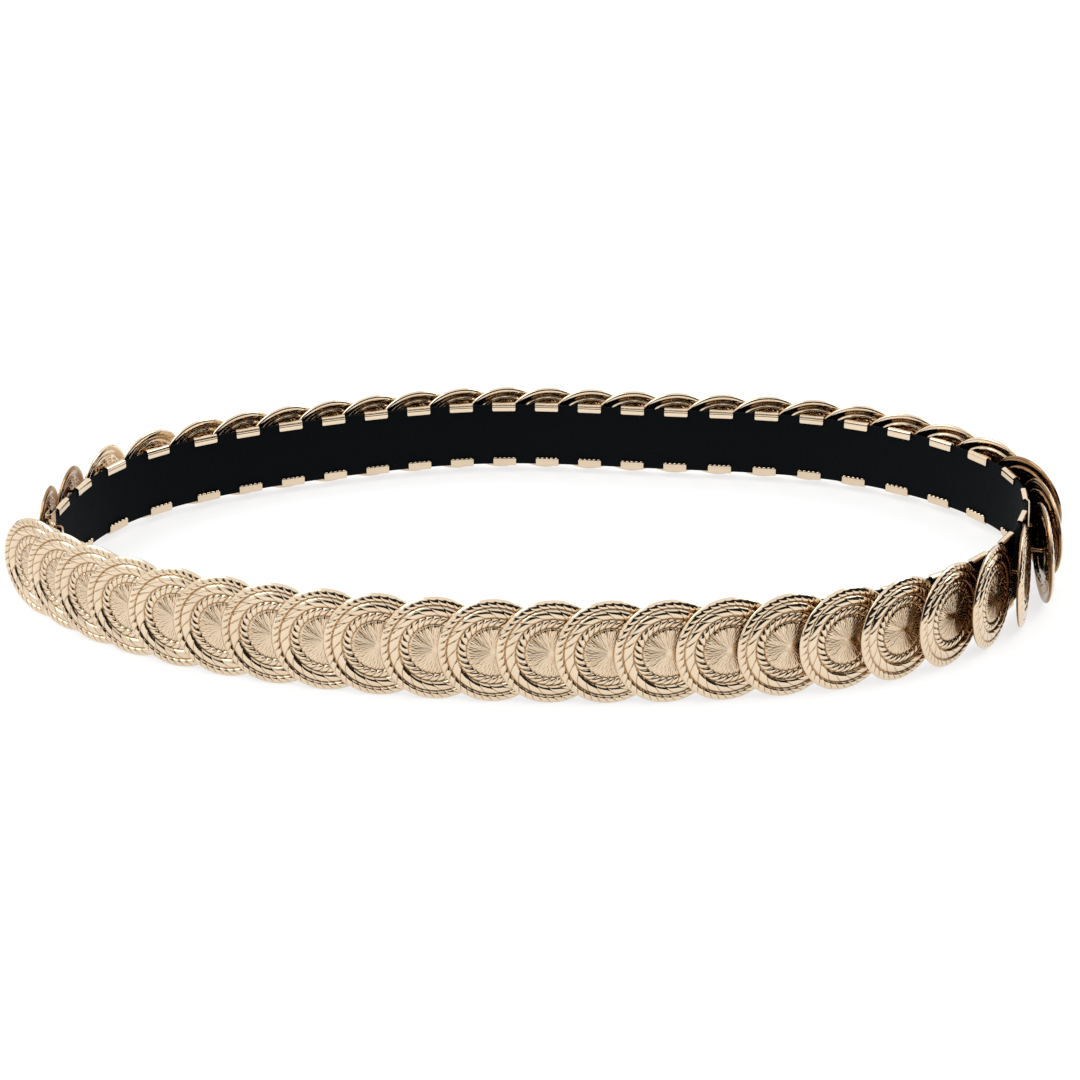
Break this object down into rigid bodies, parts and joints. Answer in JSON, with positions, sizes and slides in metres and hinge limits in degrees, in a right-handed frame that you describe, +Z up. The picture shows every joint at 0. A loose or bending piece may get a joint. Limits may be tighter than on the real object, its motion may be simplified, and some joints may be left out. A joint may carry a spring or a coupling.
{
  "type": "coin belt",
  "caption": "Stage belt of overlapping stamped gold coins clipped to a black elastic band, closed by a hook and loop.",
  "frame": {"origin": "on the ground under the middle of the belt's box, where its coins' lower rims rest", "axes": "+X along the front of the belt from the hooked end to the wearer's other side, +Y from the front to the back, +Z up"},
  "size_m": [0.3702, 0.188, 0.035],
  "materials": {
    "gold": "polished pale gold plate",
    "elastic": "matte woven elastic"
  },
  "bodies": {
    "root": {"elastic": "elastic", "coin_01": "gold", "coin_02": "gold", "coin_03": "gold", "coin_04": "gold", "coin_05": "gold", "coin_06": "gold", "coin_07": "gold", "coin_08": "gold", "coin_09": "gold", "coin_10": "gold", "coin_11": "gold", "coin_12": "gold", "coin_13": "gold", "coin_14": "gold", "coin_15": "gold", "coin_16": "gold", "coin_17": "gold", "coin_18": "gold", "coin_19": "gold", "coin_20": "gold", "coin_21": "gold", "coin_22": "gold", "coin_23": "gold", "coin_24": "gold", "coin_25": "gold", "coin_26": "gold", "coin_27": "gold", "coin_28": "gold", "coin_29": "gold", "coin_30": "gold", "coin_31": "gold", "coin_32": "gold", "coin_33": "gold", "coin_34": "gold", "coin_35": "gold", "coin_36": "gold", "coin_37": "gold", "coin_38": "gold", "coin_39": "gold", "coin_40": "gold", "coin_41": "gold", "coin_42": "gold", "coin_43": "gold", "coin_44": "gold", "coin_45": "gold", "coin_46": "gold", "coin_47": "gold", "hook": "gold", "loop_end": "gold"}
  },
  "joints": []
}
